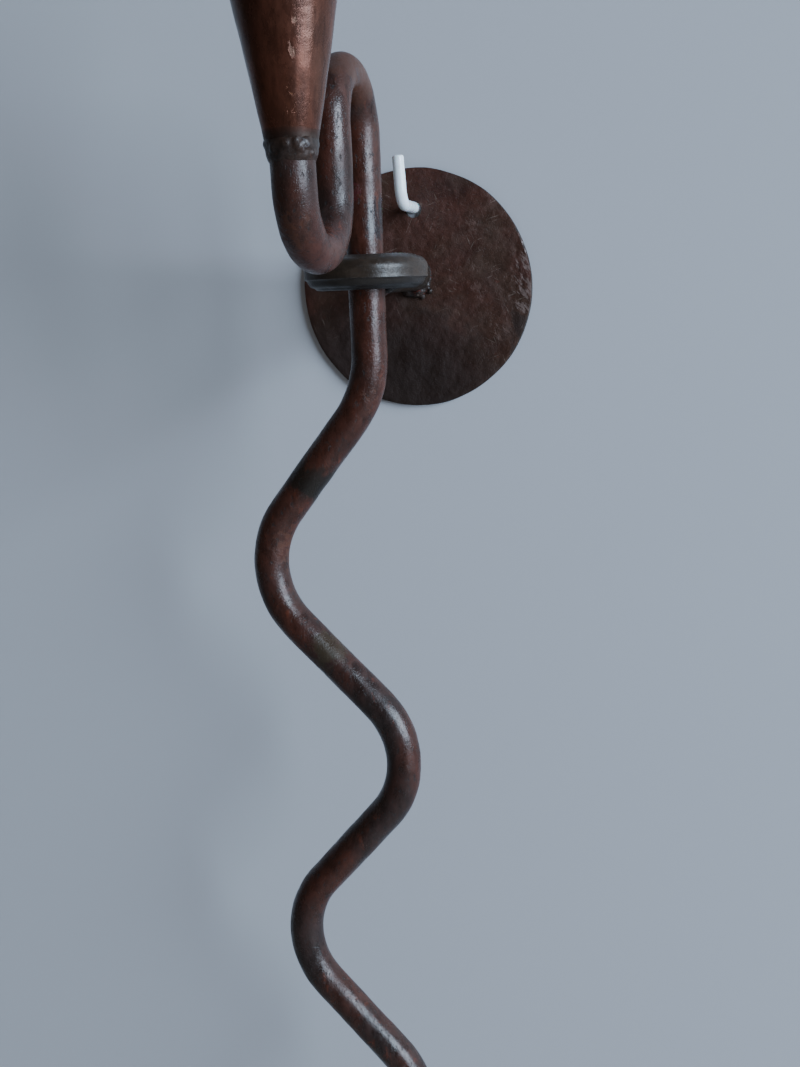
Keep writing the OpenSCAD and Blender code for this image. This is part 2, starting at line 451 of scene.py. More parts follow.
def lay_arm_weld():
    """The bead round the arm's root on the plate: thin on top, heavy below, with two spatters."""
    leg = (weld_high.x - weld_low.x) / 2 - BAR_R
    root = (0, PLATE_FRONT_Y + 0.3 * leg, RING_Z)
    fillet = Bar("arm_weld_core", root, (0, -1, 0), BAR_R + 0.2 * leg, step=0.6 * MM)
    fillet.run(0.3 * leg, BAR_R + 0.15 * leg)
    fillet.run(0.6 * leg, BAR_R - 0.1 * leg)
    core = fillet.close()
    centre = Vector((0, PLATE_FRONT_Y - 0.15 * leg, RING_Z))
    chance = random.Random(11)
    blobs = []
    count = 46
    for number in range(count):
        degrees = 360 * (number + chance.uniform(-0.3, 0.3)) / count
        sag = max(0, -math.sin(math.radians(degrees + 12))) ** 1.5
        size = (0.24 + 0.5 * sag) * leg * chance.uniform(0.85, 1.15)
        reach = BAR_R + (0.5 * sag - 0.25) * size
        blobs.append((on_ring(centre, UP, reach, degrees), size))
    spatters = ((-72, 0.85, 0.36), (-48, 0.75, 0.38))
    for degrees, out, size in spatters:
        blobs.append((on_ring(centre, UP, BAR_R + out * leg, degrees), size * leg))
    piece = lay_bead("arm_weld_bead", blobs, 0.35 * MM, core, smoothing=10)
    edit(piece)
    choose_all()
    bpy.ops.mesh.bisect(
        plane_co=(0, PLATE_FRONT_Y + 0.1 * MM, 0), plane_no=(0, 1, 0), clear_outer=True, use_fill=True
    )
    done()
    return piece


def lay_ring_weld():
    """The bead that joins the arm to the back of the ring."""
    leg = (joint_high.x - joint_low.x) / 2 - BAR_R
    centre = Vector((0, STEM_Y + RING_R + 0.78 * BAR_R, RING_Z))
    chance = random.Random(23)
    blobs = []
    count = 18
    for number in range(count):
        degrees = 360 * (number + chance.uniform(-0.25, 0.25)) / count
        size = leg * chance.uniform(1.2, 1.6)
        blobs.append((on_ring(centre, UP, BAR_R - 0.2 * leg, degrees), size))
    return lay_bead("ring_weld_bead", blobs, 0.4 * MM)


def lay_collar():
    """The brazed neck: it runs on from the cone's side down to the bar, with low lumps on it."""
    height = collar_high.z - collar_low.z
    inside_cone = 0.14 * height
    start = (0, FRONT_Y, CONE_FOOT_Z + inside_cone)
    neck = Bar("collar_core", start, (0, 0, -1), CONE_FOOT_R - 0.2 * MM, step=0.5 * MM)
    neck.run(inside_cone, CONE_FOOT_R + 0.05 * MM)
    neck.run(0.35 * height, CONE_FOOT_R)
    neck.run(0.35 * height, CONE_FOOT_R - 0.35 * MM)
    neck.run(0.18 * height, BAR_R + 0.35 * MM)
    neck.run(0.14 * height, BAR_R - 0.1 * MM)
    core = neck.close()
    chance = random.Random(42)
    blobs = []
    middle_z = (collar_low.z + collar_high.z) / 2
    # Angle round the bar, rise as a share of the height, and millimetres past the neck and in half-size
    for degrees, rise, out, size in (
        (-40, 0.08, 0.65, 2.3),
        (-52, -0.06, 0.7, 2.2),
        (-60, 0.14, 0.4, 1.6),
        (-84, 0.08, 0.35, 2.0),
        (-20, -0.35, 0.1, 1.4),
        (-120, -0.1, 0.3, 1.9),
        (-160, 0.1, 0.4, 1.8),
        (165, -0.15, 0.4, 1.8),
        (118, 0.05, 0.6, 1.7),
        (70, -0.1, 0.6, 1.6),
        (20, 0.05, 0.2, 1.5),
    ):
        centre = Vector((0, FRONT_Y, middle_z + rise * height))
        reach = CONE_FOOT_R + (out - size) * MM
        turned = degrees + chance.uniform(-4, 4)
        blobs.append((on_ring(centre, WALLWARD, reach, turned), size * MM))
    return lay_bead("collar_bead", blobs, 0.3 * MM, core)


def drill_hole(piece):
    """The plate's hanging hole, with its rim rounded over."""
    drill = add(
        bpy.ops.mesh.primitive_cylinder_add, "drill", vertices=40, radius=HOLE_R, depth=6 * MM,
        location=(0, PLATE_FRONT_Y / 2, HOLE_Z), rotation=(math.pi / 2, 0, 0),
    )
    modify(piece, "BOOLEAN", operation="DIFFERENCE", solver="EXACT", object=drill)
    bpy.data.objects.remove(drill)
    edit(piece)

    def on_hole_rim(edge):
        start, end = (corner.co for corner in edge.verts)
        farthest = max(math.hypot(place.x, place.z - HOLE_Z) for place in (start, end))
        return farthest < HOLE_R + 0.02 * MM and abs(start.y - end.y) < 0.01 * MM

    choose(piece, "EDGE", on_hole_rim)
    bpy.ops.mesh.bevel(offset=0.25 * MM, segments=2, affect="EDGES")
    done()


def wear_at(place):
    """How far in the plate's worn patch a place lies: 0 at the patch's middle, 1 on its border."""
    across = (place.x - 0.93 * PLATE_R) / (0.2 * PLATE_R)
    up = (place.z - PLATE_Z - 0.1 * PLATE_R) / (0.4 * PLATE_R)
    return math.hypot(across, up)


def cut_plate():
    """The wall plate: a disc of hammered sheet with a hanging hole and a worn rim."""
    ring_step = 1.3 * MM
    rim_rounding = 0.4 * MM
    piece = add(
        bpy.ops.mesh.primitive_cylinder_add, "plate_sheet", vertices=192, radius=PLATE_R,
        depth=-PLATE_FRONT_Y, location=(0, PLATE_FRONT_Y / 2, PLATE_Z), rotation=(math.pi / 2, 0, 0),
    )
    edit(piece)
    choose(piece, "EDGE", lambda edge: abs(edge.calc_face_angle(0)) > math.radians(60))
    bpy.ops.mesh.bevel(offset=rim_rounding, segments=2, affect="EDGES")
    for facing in (-1, 1):
        choose(piece, "FACE", lambda face: face.normal.y * facing > 0.9 and len(face.verts) > 4)
        for _ in range(int(PLATE_R / ring_step) - 2):
            bpy.ops.mesh.inset(thickness=ring_step)
    done()
    drill_hole(piece)

    def in_worn_patch(face):
        return face.normal.y < -0.9 and wear_at(face.calc_center_median()) < 1

    edit(piece)
    choose(piece, "FACE", in_worn_patch)
    bpy.ops.mesh.subdivide(number_cuts=2)
    done()
    front = piece.vertex_groups.new(name="front")
    rim = piece.vertex_groups.new(name="rim")
    worn = piece.vertex_groups.new(name="worn")
    for corner in piece.data.vertices:
        from_middle = math.hypot(corner.co.x, corner.co.z - PLATE_Z)
        if corner.co.y < PLATE_FRONT_Y / 2:
            front.add([corner.index], 1, "REPLACE")
            worn.add([corner.index], max(0, 1 - wear_at(corner.co) ** 2), "REPLACE")
        if from_middle > PLATE_R - 1.5 * rim_rounding:
            rim.add([corner.index], 1, "REPLACE")
    roughen(piece, 24 * MM, 0.5 * MM, "front")
    roughen(piece, 6 * MM, 0.14 * MM, "front")
    roughen(piece, 30 * MM, 1.1 * MM, "rim")
    roughen(piece, 2.4 * MM, 0.9 * MM, "worn")
    return smooth_shade(piece)


def roll_cone():
    """The candle cone: sheet rolled up and lapped at the back, its mouth filed round."""
    columns = 160
    rows = 46
    lap_columns = 26
    lap_up = 0.9 * MM
    seam_angle = math.radians(118)
    height = MOUTH_Z - CONE_FOOT_Z
    piece = add(
        bpy.ops.mesh.primitive_circle_add, "cone_sheet", vertices=columns, radius=CONE_FOOT_R,
        location=(0, FRONT_Y, CONE_FOOT_Z),
    )
    edit(piece)
    choose_all()
    radius = CONE_FOOT_R
    for row in range(1, rows + 1):
        share = row / rows
        goal = CONE_FOOT_R + (MOUTH_R - CONE_FOOT_R) * share
        extrude((0, 0, height / rows))
        bpy.ops.transform.resize(
            value=(goal / radius, goal / radius, 1),
            center_override=(0, FRONT_Y, CONE_FOOT_Z + height * share),
        )
        radius = goal
    column_angle = 2 * math.pi / columns

    def column_of(corner):
        angle = math.atan2(corner.co.y - FRONT_Y, corner.co.x) - seam_angle
        return round(angle / column_angle) % columns

    for number in range(lap_columns):
        angle = seam_angle + number * column_angle
        lift = lap_up * (1 - number / lap_columns)
        choose(piece, "VERT", lambda corner: column_of(corner) == number)
        bpy.ops.transform.translate(value=(lift * math.cos(angle), lift * math.sin(angle), 0))
    done()
    outward(piece)
    modify(piece, "SOLIDIFY", thickness=CONE_WALL, offset=-1, use_even_offset=True)
    outward(piece)

    def on_mouth_rim(edge):
        return edge.calc_face_angle(0) > math.radians(50) and middle(edge).z > MOUTH_Z - 1 * MM

    edit(piece)
    choose(piece, "EDGE", on_mouth_rim)
    bpy.ops.mesh.bevel(offset=0.35 * MM, segments=3, affect="EDGES")
    done()
    roughen(piece, 26 * MM, 0.6 * MM)
    roughen(piece, 7 * MM, 0.16 * MM)
    return smooth_shade(piece)


def dip_hook():
    """The hook's white coating, from the wall to its rounded tip."""
    up = Vector((-math.sin(HOOK_TURN), 0, math.cos(HOOK_TURN)))
    rounding = 0.7 * MM
    reach = SLEEVE_R - hook_low.y - 2 * SLEEVE_R
    bar = Bar("hook_skin", (0, 0, 0), (0, -1, 0), SLEEVE_R, 32, 0.8 * MM)
    bar.run(reach - HOOK_BEND_R)
    bar.bend(HOOK_BEND_R, math.pi / 2, up)
    bar.run(HOOK_UP - HOOK_BEND_R - rounding)
    bar.round_edge(rounding)
    piece = bar.close()
    roughen(piece, 5 * MM, 0.12 * MM)
    return smooth_shade(piece)


def cut_thread():
    """The hook's screw: a helical thread that ends in a point, on a short length of bare wire."""
    pitch = 1.3 * MM
    root_r = 0.72 * SCREW_R
    turns = round(screw_high.y / pitch)
    # The outline of one turn: each corner's radius, and its step along as a share of the pitch
    profile = ((root_r, 0.35), (SCREW_R, 0.28), (SCREW_R, 0.09), (root_r, 0.28))
    piece = add(bpy.ops.mesh.primitive_circle_add, "screw_wire", vertices=3, radius=root_r)
    edit(piece)
    choose(piece, "VERT", lambda corner: corner.index > 0)
    bpy.ops.mesh.delete(type="VERT")
    done()
    piece.data.vertices[0].co = (root_r, 0, 0)
    edit(piece, "VERT")
    choose_all()
    before_r = root_r
    for radius, share in profile:
        extrude((radius - before_r, share * pitch, 0))
        before_r = radius
    done()
    modify(
        piece, "SCREW", axis="Y", screw_offset=pitch, iterations=turns, steps=24,
        use_merge_vertices=True, merge_threshold=0.001 * MM,
    )
    length = screw_high.y
    bluntness = 0.02
    for corner in piece.data.vertices:
        corner.co.y = min(max(corner.co.y - pitch / 2, 0), length)
        left = min(1, max(bluntness, (length - corner.co.y) / SCREW_POINT))
        corner.co.x *= left
        corner.co.z *= left
    edit(piece)
    choose_all()
    bpy.ops.mesh.remove_doubles(threshold=0.01 * MM)
    bpy.ops.mesh.fill_holes(sides=0)
    done()
    outward(piece)
    return smooth_shade(piece, 30)


def turn_pin():
    """The peg in the stem's back that rests on the ring, with its end rounded over."""
    rounding = 0.8 * MM
    bar = Bar("pin_peg", (0, pin_low.y, PIN_Z), (0, 1, 0), PIN_R, 28, 0.8 * MM)
    bar.run(pin_high.y - pin_low.y - rounding)
    bar.round_edge(rounding)
    piece = bar.close()
    roughen(piece, 3 * MM, 0.12 * MM)
    return smooth_shade(piece)


# Materials


class Board:
    """Short calls to lay nodes in a tree and join them. A value may be a socket or a constant."""

    def __init__(self, tree):
        self.tree = tree

    def put(self, kind, inputs=None, **settings):
        """Lays a node with these settings, and feeds these of its inputs, by name or number."""
        made = self.tree.nodes.new("ShaderNode" + kind)
        for name, value in settings.items():
            setattr(made, name, value)
        for socket, value in (inputs or {}).items():
            self.feed(made.inputs[socket], value)
        return made

    def feed(self, socket, value):
        if isinstance(value, bpy.types.NodeSocket):
            self.tree.links.new(value, socket)
        else:
            socket.default_value = value

    def feed_all(self, node, **values):
        """Feeds these inputs of a node. Their names have _ for a space."""
        for name, value in values.items():
            self.feed(node.inputs[name.replace("_", " ")], value)

    def noise(self, where, scale, detail=4.0, roughness=0.55, distortion=0.0):
        inputs = {"Vector": where, "Scale": scale, "Detail": detail}
        inputs.update({"Roughness": roughness, "Distortion": distortion})
        return self.put("TexNoise", inputs).outputs["Fac"]

    def between(self, value, low, high, start=0.0, end=1.0):
        """start below low, end above high, and a soft step between."""
        inputs = {"Value": value, "From Min": low, "From Max": high, "To Min": start, "To Max": end}
        return self.put("MapRange", inputs, interpolation_type="SMOOTHSTEP").outputs["Result"]

    def math(self, operation, first, second):
        return self.put("Math", {0: first, 1: second}, operation=operation).outputs[0]

    def sum(self, first, second):
        return self.math("ADD", first, second)

    def less(self, first, second):
        return self.math("SUBTRACT", first, second)

    def times(self, first, second):
        return self.math("MULTIPLY", first, second)

    def most(self, first, second):
        return self.math("MAXIMUM", first, second)

    def vector_math(self, operation, *vectors):
        return self.put("VectorMath", dict(enumerate(vectors)), operation=operation).outputs

    def mix(self, share, first, second):
        return self.put("Mix", {0: share, 6: first, 7: second}, data_type="RGBA").outputs[2]

    def moved(self, where, location=(0, 0, 0), rotation=(0, 0, 0), scale=(1, 1, 1)):
        inputs = {"Vector": where, "Location": location, "Rotation": rotation, "Scale": scale}
        return self.put("Mapping", inputs).outputs["Vector"]

    def group(self, tree, **inputs):
        """Lays a node group and feeds its inputs."""
        made = self.put("Group", node_tree=tree)
        self.feed_all(made, **inputs)
        return made.outputs


def new_group(name, inputs, outputs):
    """A node group, as a board, its input node's sockets and its output node's.

    inputs and outputs hold the names of the sockets of each kind.
    """
    tree = bpy.data.node_groups.new(name, "ShaderNodeTree")
    for way, sockets in (("INPUT", inputs), ("OUTPUT", outputs)):
        for kind, labels in sockets.items():
            for label in labels:
                tree.interface.new_socket(label, in_out=way, socket_type="NodeSocket" + kind)
    board = Board(tree)
    return board, tree.nodes.new("NodeGroupInput").outputs, tree.nodes.new("NodeGroupOutput").inputs


def patina_group():
    """Forged iron's colours: a ground with wide dark and grey zones, rust mottles and dark specks."""
    colours = ["Ground", "Dark", "Grey", "Rust"]
    values = ["Zone Scale", "Dark Share", "Grey Share", "Rust Share", "Mottle Depth", "Speck Depth"]
    board, given, out = new_group(
        "forge_patina",
        {"Vector": ["Where"], "Color": colours, "Float": values},
        {"Color": ["Color"], "Float": ["Mottle", "Speck"]},
    )
    where = given["Where"]
    scale = given["Zone Scale"]
    colour = given["Ground"]
    for name, offset in (("Dark", (0.57, 0.08, 0.39)), ("Grey", (0.05, 0.43, 0.22))):
        field = board.noise(board.moved(where, offset), scale, 3.0, 0.5, 0.4)
        edge = board.less(0.74, board.times(given[name + " Share"], 0.5))
        zone = board.between(field, board.sum(edge, -0.13), board.sum(edge, 0.13))
        colour = board.mix(board.times(zone, 0.8), colour, given[name])
    broad = board.noise(board.moved(where, (0.2, 0.7, 0.6)), board.times(scale, 1.6), 2.0)
    mottles = board.noise(board.moved(where, (0.31, 0.12, 0.07)), board.times(scale, 11), 5.0, 0.68, 0.6)
    edge = board.less(0.72, board.times(given["Rust Share"], 0.26))
    found = board.between(mottles, board.sum(edge, -0.04), board.sum(edge, 0.08))
    rust = board.times(found, board.between(broad, 0.4, 0.62))
    colour = board.mix(board.times(rust, 0.8), colour, given["Rust"])
    mottle = board.noise(where, board.times(scale, 9), 6.0, 0.68, 0.3)
    darkest = board.less(1.0, given["Mottle Depth"])
    palest = board.sum(1.0, board.times(given["Mottle Depth"], 1.2))
    brightness = board.between(mottle, 0.28, 0.72, darkest, palest)
    tinted = board.put("HueSaturation", {"Value": brightness, "Color": colour}).outputs[0]
    speck_field = board.noise(board.moved(where, (0.9, 0.2, 0.4)), board.times(scale, 26), 4.0, 0.65)
    speck = board.times(board.between(speck_field, 0.58, 0.66), given["Speck Depth"])
    board.feed(out["Color"], board.mix(speck, tinted, given["Dark"]))
    board.feed(out["Mottle"], mottle)
    board.feed(out["Speck"], speck)
    return board.tree


def wear_group():
    """Edges that rubbing has laid bare, broken up so that they aren't a neat line."""
    sockets = {"Vector": ["Where"], "Float": ["Reach"]}
    board, given, out = new_group("edge_wear", sockets, {"Float": ["Mask"]})
    sharp = board.put("NewGeometry").outputs["Pointiness"]
    low = board.less(0.56, board.times(given["Reach"], 0.06))
    edge = board.between(sharp, low, board.sum(low, 0.06))
    broken = board.between(board.noise(given["Where"], 420, 5.0, 0.7), 0.42, 0.6)
    board.feed(out["Mask"], board.times(edge, broken))
    return board.tree


def scratch_group():
    """Fine short scratches that lie in four directions along the wall, in loose clusters."""
    sockets = {"Vector": ["Where"], "Float": ["Density"]}
    board, given, out = new_group("fine_scratches", sockets, {"Float": ["Mask"]})
    found = 0.0
    for number, degrees in enumerate((18, 64, 112, 153)):
        turned = board.moved(given["Where"], (0.13 * number, 0.2, 0.3), (0, math.radians(degrees), 0))
        drawn = board.moved(turned, scale=(130, 900, 3600))
        field = board.noise(drawn, 1.0, 3.0, 0.55, 0.5)
        edge = board.less(0.74, board.times(given["Density"], 0.1))
        line = board.between(field, edge, board.sum(edge, 0.07))
        cluster = board.between(board.noise(turned, 75, 2.0), 0.5, 0.62)
        found = board.most(found, board.times(line, cluster))
    board.feed(out["Mask"], found)
    return board.tree


def spot_group():
    """One worn spot at a place on the piece, with a ragged border and gaps in it."""
    vectors = ["Where", "Pattern", "Middle", "Half Size"]
    board, given, out = new_group(
        "worn_spot", {"Vector": vectors, "Float": ["Grain", "Cover"]}, {"Float": ["Mask"]}
    )
    away = board.vector_math("SUBTRACT", given["Where"], given["Middle"])["Vector"]
    shares = board.vector_math("DIVIDE", away, given["Half Size"])["Vector"]
    distance = board.vector_math("LENGTH", shares)["Value"]
    inside = board.between(distance, 0.3, 1.0, 1.0, 0.0)
    ragged = board.noise(given["Pattern"], given["Grain"], 5.0, 0.65, 0.4)
    reach = board.less(0.78, board.times(inside, given["Cover"]))
    found = board.between(ragged, reach, board.sum(reach, 0.12))
    board.feed(out["Mask"], board.times(found, inside))
    return board.tree


def skin_group():
    """The height of forged skin: shallow dents, scale and fine pores."""
    sockets = {"Vector": ["Where"], "Float": ["Dents", "Pores"]}
    board, given, out = new_group("forged_skin", sockets, {"Float": ["Height"]})
    where = given["Where"]
    dents = board.times(board.noise(where, 150, 2.0, 0.5), given["Dents"])
    flakes = board.times(board.noise(board.moved(where, (0.2, 0.5, 0.1)), 560, 4.0, 0.6), given["Pores"])
    pores = board.noise(board.moved(where, (0.7, 0.1, 0.3)), 1800, 1.0, 0.5)
    pits = board.times(board.between(pores, 0.34, 0.5), board.times(given["Pores"], 0.3))
    board.feed(out["Height"], board.sum(board.sum(dents, flakes), pits))
    return board.tree


def new_material(name):
    """A material with an empty board, its Principled shader and its object coordinates."""
    material = bpy.data.materials.new(name)
    material.use_nodes = True
    board = Board(material.node_tree)
    shader = material.node_tree.nodes["Principled BSDF"]
    where = board.put("TexCoord").outputs["Object"]
    return material, board, shader, where


def add_bump(board, shader, height, distance):
    bump = board.put("Bump", {"Strength": 1.0, "Distance": distance, "Height": height})
    board.feed(shader.inputs["Normal"], bump.outputs["Normal"])


def rgb(red, green, blue):
    return (red, green, blue, 1.0)


PATINA = patina_group()
WEAR = wear_group()
SCRATCHES = scratch_group()
SPOT = spot_group()
SKIN = skin_group()

BARE_METAL = rgb(0.30, 0.24, 0.20)
NEAR_BLACK = rgb(0.011, 0.010, 0.010)
STREAK_STRETCH = 0.3


def mm(*lengths):
    """Lengths in millimetres, turned to metres."""
    return tuple(length * MM for length in lengths)


def spot(middle_at, half_size, grain, colour, cover, strength, rougher=0.2, lean=None):
    """One spot on iron: how much of it is covered and how strongly, and how much rougher it is.

    lean is set where the spot is streaked, and says how far the streaks lean from upright.
    """
    return (middle_at, half_size, grain, colour, cover, strength, rougher, lean)


def lay_spot(board, where, one_spot, colour, rough, rubbed):
    """The colour, the roughness and the rubbed share of the surface, with one more spot on it."""
    middle_at, half_size, grain, shown, cover, strength, rougher, lean = one_spot
    pattern = where
    if lean is not None:
        turned = board.moved(where, rotation=(0, math.radians(lean), 0))
        pattern = board.moved(turned, scale=(1, 1, STREAK_STRETCH))
    place = {"Where": where, "Pattern": pattern, "Middle": middle_at, "Half_Size": half_size}
    found = board.group(SPOT, Grain=grain, Cover=cover, **place)["Mask"]
    colour = board.mix(board.times(found, strength), colour, shown)
    rough = board.sum(rough, board.times(found, rougher))
    if rougher > 0:
        rubbed = board.most(rubbed, found)
    return colour, rough, rubbed


def iron(
    name, ground, grey, rust, shares, zone_scale, gloss, metal, wax, skin,
    dark=NEAR_BLACK, along=1.0, mottle=0.38, specks=0.3, scratches=0.1, edges=0.6, spots=(),
):
    """Forged and waxed iron.

    shares says how much dark, grey and rust there is on the ground, gloss the lowest and highest
    roughness, wax the coat's highest weight and its roughness, and skin how deep the dents and the
    scale are. along is below 1 where the patina is drawn out upwards, mottle is how far the
    colour's brightness wanders, and edges how far the sharp edges are worn bare.
    """
    material, board, shader, where = new_material(name)
    drawn = board.moved(where, scale=(1, 1, along))
    colours = {"Ground": ground, "Dark": dark, "Grey": grey, "Rust": rust}
    depths = {"Mottle_Depth": mottle, "Speck_Depth": specks}
    amounts = dict(zip(("Dark_Share", "Grey_Share", "Rust_Share"), shares))
    patina = board.group(PATINA, Where=drawn, Zone_Scale=zone_scale, **colours, **amounts, **depths)
    worn = board.group(WEAR, Where=where, Reach=0.5)["Mask"]
    scratched = board.group(SCRATCHES, Where=where, Density=scratches)["Mask"]
    bare = board.most(board.times(worn, edges), board.times(scratched, 0.5))
    colour = board.mix(bare, patina["Color"], BARE_METAL)
    fine = board.noise(drawn, 700, 3.0, 0.6)
    broad = board.noise(board.moved(where, (0.4, 0.6, 0.1)), 95, 2.0)
    gloss_field = board.sum(board.times(patina["Mottle"], 0.35), board.times(fine, 0.2))
    gloss_field = board.sum(gloss_field, board.times(broad, 0.45))
    rough = board.between(gloss_field, 0.41, 0.59, gloss[0], gloss[1])
    rough = board.sum(rough, board.times(patina["Speck"], 0.3))
    rubbed = patina["Speck"]
    for one_spot in spots:
        colour, rough, rubbed = lay_spot(board, where, one_spot, colour, rough, rubbed)
    waxed = board.between(gloss_field, 0.43, 0.57, wax[0], 0.0)
    coat = board.times(waxed, board.less(1.0, rubbed))
    board.feed_all(shader, Base_Color=colour, Roughness=rough, Coat_Weight=coat)
    board.feed_all(shader, Metallic=metal, Coat_Roughness=wax[1], Specular_IOR_Level=0.28)
    height = board.group(SKIN, Where=where, Dents=skin[0], Pores=skin[1])["Height"]
    height = board.less(height, board.times(rubbed, 0.5))
    add_bump(board, shader, height, 0.12 * MM)
    return material


def on_stem(across, height, towards_wall=0):
    """A place on the stem's plane, in millimetres from the hook, and off that plane."""
    return (across * MM, STEM_Y + towards_wall * MM, height * MM)


def bar_iron():
    dark_tone = rgb(0.0085, 0.0080, 0.0065)
    arch_brown_and_top_light = rgb(0.062, 0.024, 0.013)
    bend_brown = rgb(0.064, 0.020, 0.013)
    green = rgb(0.036, 0.028, 0.016)
    rust = rgb(0.066, 0.023, 0.012)
    crimson = rgb(0.060, 0.008, 0.010)
    polished = rgb(0.014, 0.0135, 0.0155)
    front_bend_at = (0, FRONT_Y + 16 * MM, -20 * MM)
    front_end_at = (-2 * MM, FRONT_Y, -12 * MM)
    return iron(
        "bar_iron",
        ground=rgb(0.036, 0.011, 0.007),
        grey=rgb(0.022, 0.019, 0.017),
        rust=rgb(0.074, 0.020, 0.011),
        shares=(0.38, 0.0, 0.45),
        zone_scale=32,
        gloss=(0.22, 0.40),
        metal=0.08,
        wax=(0.14, 0.24),
        skin=(1.7, 0.65),
        along=0.5,
        mottle=0.42,
        specks=0.7,
        spots=(
            # A sooty near-black patch on the wave.
            spot(on_stem(-21, -92), mm(16, 16, 15), 140, dark_tone, 0.48, 0.9, rougher=0.02),
            spot(on_stem(-31, -114), mm(14, 16, 16), 300, rust, 0.34, 0.6),
            spot(on_stem(-18, -150), mm(13, 16, 13), 200, green, 0.44, 0.6, rougher=0.02),
            # The paler brown spot on the arch's top is partly a browner, matte patina and partly painted
            # light falling from above.
            spot(on_stem(0, 34, -16), mm(14, 34, 18), 110, arch_brown_and_top_light, 0.5, 0.6, rougher=0.1),
            spot(front_bend_at, mm(14, 30, 18), 240, bend_brown, 0.42, 0.6, rougher=0.04),
            spot(on_stem(2, -62), mm(12, 16, 22), 520, rust, 0.25, 0.7),
            spot(on_stem(5, -8, -2), mm(7, 16, 15), 420, polished, 0.36, 0.8, rougher=-0.08, lean=0),
            spot(on_stem(-1, 1, -6), mm(4.5, 5, 6.5), 500, crimson, 0.32, 0.8),
            spot(front_end_at, mm(12, 14, 14), 380, rust, 0.32, 0.6),
        ),
    )


def ring_iron():
    # The near-black spot under the ring is painted shade: it darkens the ring's underside, where less
    # light falls from below.
    dark_tone = rgb(0.010, 0.009, 0.0085)
    underside_at = (0, STEM_Y, RING_Z - BAR_R)
    around = 2.4 * (RING_R + BAR_R)
    underside = (around, around, 1.5 * BAR_R)
    return iron(
        "ring_iron",
        ground=rgb(0.023, 0.015, 0.0105),
        grey=rgb(0.023, 0.017, 0.013),
        rust=rgb(0.040, 0.016, 0.009),
        shares=(0.3, 0.5, 0.3),
        zone_scale=40,
        gloss=(0.31, 0.46),
        metal=0.1,
        wax=(0.2, 0.3),
        skin=(1.3, 0.5),
        mottle=0.3,
        scratches=0.15,
        spots=(spot(underside_at, underside, 60, dark_tone, 0.9, 0.95, rougher=0.02),),
    )


def cone_iron():
    scuff = rgb(0.200, 0.120, 0.085)
    flecks = rgb(0.170, 0.070, 0.034)
    darker_tone = rgb(0.018, 0.011, 0.0085)
    return iron(
        "cone_iron",
        ground=rgb(0.074, 0.025, 0.015),
        dark=rgb(0.038, 0.015, 0.0105),
        grey=rgb(0.056, 0.027, 0.018),
        rust=rgb(0.125, 0.042, 0.018),
        shares=(0.4, 0.2, 0.3),
        zone_scale=30,
        gloss=(0.20, 0.32),
        metal=0.6,
        wax=(0.05, 0.3),
        skin=(1.3, 0.12),
        along=0.4,
        mottle=0.35,
        specks=0.12,
        scratches=0.25,
        spots=(
            # A burnt, darker ring at the cone's foot, by the brazed neck.
            spot((0, FRONT_Y, CONE_FOOT_Z), mm(20, 20, 4.5), 160, darker_tone, 0.8, 0.9),
            spot(mm(6.2, -152, 34.5), mm(1.7, 4, 6), 620, scuff, 0.32, 0.55, lean=0),
            spot(mm(4.6, -152, 30), mm(1.7, 4, 5.5), 620, scuff, 0.32, 0.45, lean=0),
            spot(mm(4.5, -149, 18), mm(6.5, 10, 13), 900, flecks, 0.19, 0.6),
        ),
    )


def plate_iron():
    worn = rgb(0.135, 0.094, 0.084)
    scuff = rgb(0.085, 0.045, 0.035)
    darker_tone = rgb(0.0135, 0.0068, 0.005)
    streak_lean = 40
    return iron(
        "plate_iron",
        ground=rgb(0.049, 0.0175, 0.0125),
        dark=rgb(0.023, 0.0105, 0.0082),
        grey=rgb(0.044, 0.024, 0.0168),
        rust=rgb(0.068, 0.021, 0.013),
        shares=(0.35, 0.45, 0.38),
        zone_scale=40,
        gloss=(0.34, 0.58),
        metal=0.1,
        wax=(0.16, 0.26),
        skin=(8.5, 1.1),
        mottle=0.2,
        scratches=0.9,
        edges=0.15,
        spots=(
            # The wide near-black spot on the lower left is partly a darker patina and partly painted
            # shade cast by the ring and the bars.
            spot(mm(-16, -3, -70), mm(75, 10, 56), 18, darker_tone, 0.75, 0.95),
            spot(mm(40, -3, -50), mm(9, 10, 24), 110, darker_tone, 0.4, 0.7),
            spot(mm(22, -3, -7), mm(8, 10, 9), 520, scuff, 0.3, 0.6),
            spot(mm(24, -3, -31), mm(6, 10, 7), 420, scuff, 0.3, 0.6),
            spot(mm(32, -3, -46), mm(8, 10, 8), 600, scuff, 0.26, 0.6, lean=streak_lean),
            spot(mm(40.5, -3, -29), mm(7.5, 10, 21), 700, worn, 0.3, 0.85, lean=streak_lean),
        ),
    )


def neck_iron():
    # The pale spot on the front lump is partly rubbed bare metal and partly a painted highlight.
    rubbed_silver_and_highlight = rgb(0.090, 0.082, 0.085)
    bright_lump_at = (5.4 * MM, FRONT_Y - 5.4 * MM, CONE_Z - 3 * MM)
    return iron(
        "neck_iron",
        ground=rgb(0.022, 0.0105, 0.0068),
        grey=rgb(0.022, 0.017, 0.014),
        rust=rgb(0.062, 0.022, 0.012),
        shares=(0.4, 0.0, 0.5),
        zone_scale=90,
        gloss=(0.32, 0.5),
        metal=0.12,
        wax=(0.08, 0.25),
        skin=(0.6, 0.3),
        edges=0.2,
        spots=(spot(bright_lump_at, mm(2.8, 2.8, 2.8), 900, rubbed_silver_and_highlight, 0.38, 0.7, rougher=-0.04),),
    )


# The welds: dark and uneven, with rust
WELD_IRON = iron(
    "weld_iron",
    ground=rgb(0.016, 0.009, 0.007),
    grey=rgb(0.017, 0.014, 0.012),
    rust=rgb(0.125, 0.024, 0.017),
    shares=(0.4, 0.1, 0.6),
    zone_scale=90,
    gloss=(0.34, 0.55),
    metal=0.12,
    wax=(0.05, 0.25),
    skin=(1.2, 0.8),
)

